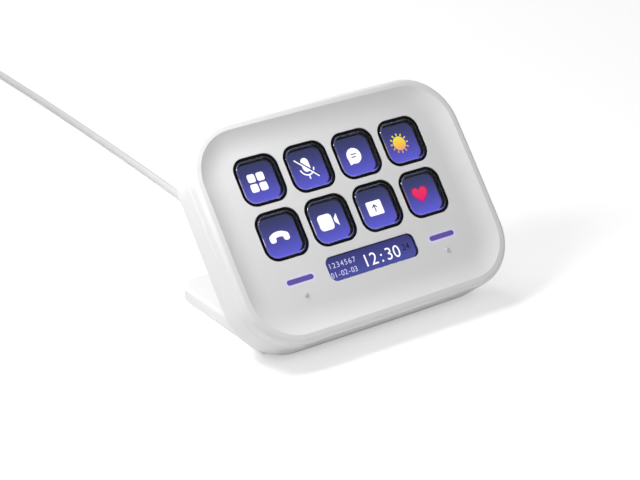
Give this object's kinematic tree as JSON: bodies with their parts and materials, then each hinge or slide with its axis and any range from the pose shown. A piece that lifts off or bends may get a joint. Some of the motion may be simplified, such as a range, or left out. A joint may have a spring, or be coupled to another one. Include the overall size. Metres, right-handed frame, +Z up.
{
  "type": "macro keypad",
  "caption": "Slab-shaped macro keypad with square clear display keys, an information window and light bars in a dished face, leaning back on a fixed L-shaped stand with a lead.",
  "frame": {"origin": "on the table under the middle of the keypad without its lead", "axes": "+Z up, +X to the right along the keypad, +Y to the back where the foot and the lead are"},
  "size_m": [0.107, 0.4595, 0.0705],
  "materials": {
    "ballast_steel": "mill finish steel",
    "black_frame": "black moulded plastic",
    "board_part": "black chip packages",
    "circuit_board": "green solder mask",
    "clear_cap": "clear polished polycarbonate",
    "contact_sheet": "printed polyester film",
    "copper": "bare copper foil",
    "cover_metal": "grey powder coat",
    "display_glass": "black display glass",
    "grey_silicone": "dark grey silicone",
    "light_guide": "frosted light guide, lit violet",
    "pad_rubber": "grey non-slip rubber",
    "plug_metal": "nickel plated steel",
    "screw_steel": "zinc plated steel",
    "tie_band": "white silicone band",
    "tray_steel": "pressed steel",
    "white_cord": "white flexible cord jacket",
    "white_grip": "white overmoulding",
    "white_shell": "satin white moulded plastic",
    "window_lens": "tinted clear window"
  },
  "bodies": {
    "housing": {"ballast_plate": "ballast_steel", "base_cover": "cover_metal", "base_screws": "screw_steel", "board_parts": "board_part", "board_screws": "screw_steel", "cable_tie": "tie_band", "cord_coil": "white_cord", "cord_lead": "white_cord", "cord_tail": "white_cord", "display_tray": "tray_steel", "foot_pad": "pad_rubber", "front_shell": "white_shell", "information_display": "display_glass", "information_lens": "window_lens", "key_display": "display_glass", "key_frame": "black_frame", "key_spring_1": "grey_silicone", "key_spring_2": "grey_silicone", "key_spring_3": "grey_silicone", "key_spring_4": "grey_silicone", "key_spring_5": "grey_silicone", "key_spring_6": "grey_silicone", "key_spring_7": "grey_silicone", "key_spring_8": "grey_silicone", "light_guide_left": "light_guide", "light_guide_right": "light_guide", "main_board": "circuit_board", "plug_body": "white_grip", "plug_shell": "plug_metal", "rear_shell": "white_shell", "stand": "white_shell", "stand_screws": "screw_steel", "strain_relief": "white_grip", "switch_flex": "contact_sheet", "touch_electrode_left": "copper", "touch_electrode_right": "copper"},
    "key_1": {"key_cap_1": "clear_cap"},
    "key_2": {"key_cap_2": "clear_cap"},
    "key_3": {"key_cap_3": "clear_cap"},
    "key_4": {"key_cap_4": "clear_cap"},
    "key_5": {"key_cap_5": "clear_cap"},
    "key_6": {"key_cap_6": "clear_cap"},
    "key_7": {"key_cap_7": "clear_cap"},
    "key_8": {"key_cap_8": "clear_cap"}
  },
  "joints": [
    {"name": "key_1_press", "type": "slide", "parent": "housing", "child": "key_1", "axis": [0, 0.7826, -0.6225], "range_m": [0, 0.0008], "stiffness_N_per_m": 400, "springref_m": -0.0005, "deforming": ["key_spring_1"]},
    {"name": "key_2_press", "type": "slide", "parent": "housing", "child": "key_2", "axis": [0, 0.7826, -0.6225], "range_m": [0, 0.0008], "stiffness_N_per_m": 400, "springref_m": -0.0005, "deforming": ["key_spring_2"]},
    {"name": "key_3_press", "type": "slide", "parent": "housing", "child": "key_3", "axis": [0, 0.7826, -0.6225], "range_m": [0, 0.0008], "stiffness_N_per_m": 400, "springref_m": -0.0005, "deforming": ["key_spring_3"]},
    {"name": "key_4_press", "type": "slide", "parent": "housing", "child": "key_4", "axis": [0, 0.7826, -0.6225], "range_m": [0, 0.0008], "stiffness_N_per_m": 400, "springref_m": -0.0005, "deforming": ["key_spring_4"]},
    {"name": "key_5_press", "type": "slide", "parent": "housing", "child": "key_5", "axis": [0, 0.7826, -0.6225], "range_m": [0, 0.0008], "stiffness_N_per_m": 400, "springref_m": -0.0005, "deforming": ["key_spring_5"]},
    {"name": "key_6_press", "type": "slide", "parent": "housing", "child": "key_6", "axis": [0, 0.7826, -0.6225], "range_m": [0, 0.0008], "stiffness_N_per_m": 400, "springref_m": -0.0005, "deforming": ["key_spring_6"]},
    {"name": "key_7_press", "type": "slide", "parent": "housing", "child": "key_7", "axis": [0, 0.7826, -0.6225], "range_m": [0, 0.0008], "stiffness_N_per_m": 400, "springref_m": -0.0005, "deforming": ["key_spring_7"]},
    {"name": "key_8_press", "type": "slide", "parent": "housing", "child": "key_8", "axis": [0, 0.7826, -0.6225], "range_m": [0, 0.0008], "stiffness_N_per_m": 400, "springref_m": -0.0005, "deforming": ["key_spring_8"]}
  ]
}
